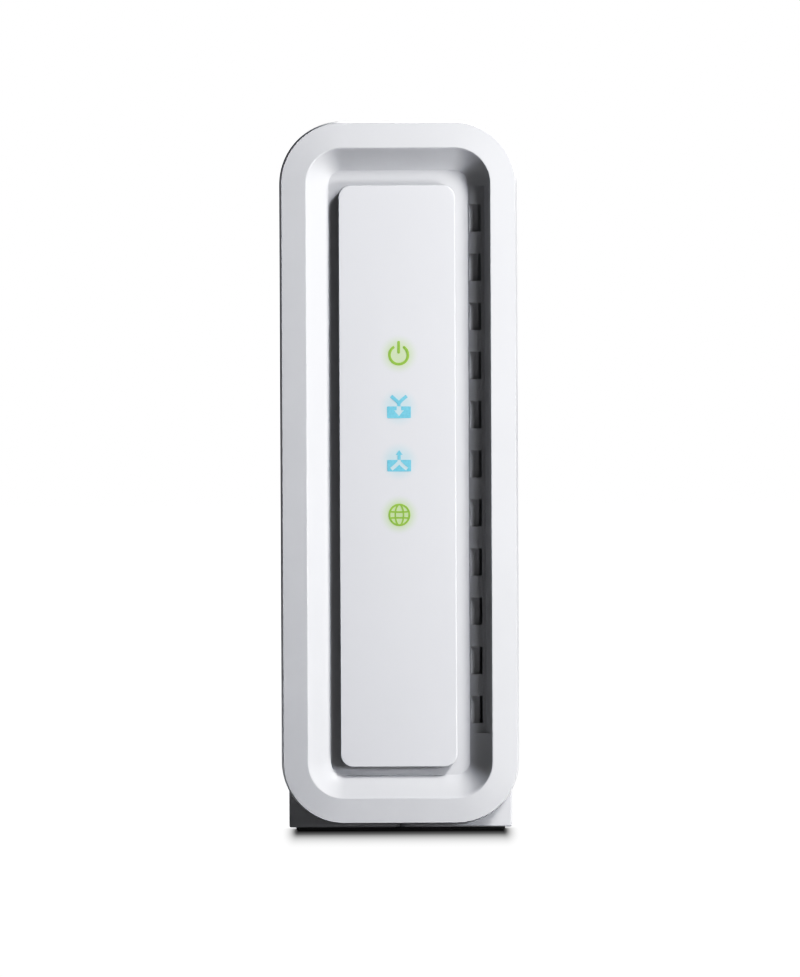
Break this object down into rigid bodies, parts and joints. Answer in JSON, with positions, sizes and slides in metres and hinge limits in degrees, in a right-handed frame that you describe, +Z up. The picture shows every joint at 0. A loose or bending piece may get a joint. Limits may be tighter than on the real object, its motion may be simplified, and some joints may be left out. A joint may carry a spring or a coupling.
{
  "type": "cable modem",
  "caption": "Upright desktop cable modem with a rounded front bezel, raised status plate, side vent slots, rear network, coaxial and power connectors and a recessed reset button.",
  "frame": {"origin": "centre of the footprint, on the plane the feet rest on", "axes": "+X to the right seen from the front, +Y to the rear, +Z up; the front faces -Y"},
  "size_m": [0.0452, 0.133, 0.1353],
  "materials": {
    "casing_white": "smooth satin-gloss moulded white",
    "plate_white": "smooth glossy white, slightly translucent",
    "panel_white": "fine spark-eroded texture",
    "foot_rubber": "matte black",
    "label_paper": "satin blank label",
    "clear_acrylic": "clear moulded acrylic",
    "board_green": "solder-masked laminate",
    "chip_black": "moulded epoxy",
    "thermal_pad": "soft silicone",
    "aluminium": "extruded",
    "screw_steel": "zinc plated",
    "tinned_steel": "tinned",
    "connector_black": "moulded nylon",
    "ferrite": "sintered",
    "capacitor_sleeve": "sleeved can",
    "gold_contact": "gold plated",
    "nickel": "nickel plated",
    "insulator": "natural white",
    "lamp_green": "clear-topped lamp, lit green",
    "lamp_blue": "clear-topped lamp, lit light blue",
    "switch_black": "moulded nylon"
  },
  "bodies": {
    "modem": {"board_screw_1": "screw_steel", "board_screw_2": "screw_steel", "board_screw_3": "screw_steel", "board_screw_4": "screw_steel", "capacitor_1": "capacitor_sleeve", "capacitor_2": "capacitor_sleeve", "capacitor_3": "capacitor_sleeve", "case_screw_1": "screw_steel", "case_screw_2": "screw_steel", "clock_crystal": "tinned_steel", "coax_body": "nickel", "coax_contact": "gold_contact", "coax_insulator": "insulator", "coax_nut": "nickel", "coax_washer": "nickel", "downstream_led": "lamp_blue", "ethernet_chip": "chip_black", "ethernet_contacts": "gold_contact", "ethernet_insert": "connector_black", "ethernet_shield": "tinned_steel", "ethernet_transformer": "connector_black", "flash_chip": "chip_black", "front_bezel": "casing_white", "front_foot": "foot_rubber", "heat_spreader": "aluminium", "heatsink": "aluminium", "heatsink_screw_1": "screw_steel", "heatsink_screw_2": "screw_steel", "heatsink_screw_3": "screw_steel", "heatsink_screw_4": "screw_steel", "left_shell": "casing_white", "light_guide": "clear_acrylic", "main_board": "board_green", "memory_chip_1": "chip_black", "memory_chip_2": "chip_black", "online_led": "lamp_green", "power_inductor_1": "ferrite", "power_inductor_2": "ferrite", "power_jack_housing": "connector_black", "power_jack_pin": "nickel", "power_led": "lamp_green", "processor_chip": "chip_black", "rating_label": "label_paper", "rear_foot": "foot_rubber", "rear_panel": "panel_white", "reset_switch_body": "switch_black", "right_shell": "casing_white", "spreader_pad": "thermal_pad", "status_plate": "plate_white", "thermal_pad": "thermal_pad", "tuner_chip": "chip_black", "tuner_shield_frame": "tinned_steel", "tuner_shield_lid": "tinned_steel", "upstream_led": "lamp_blue"},
    "reset_button": {"reset_plunger": "switch_black"}
  },
  "joints": [
    {"name": "reset_press", "type": "slide", "parent": "modem", "child": "reset_button", "axis": [0, -1, 0], "range_m": [0, 0.00035]}
  ]
}
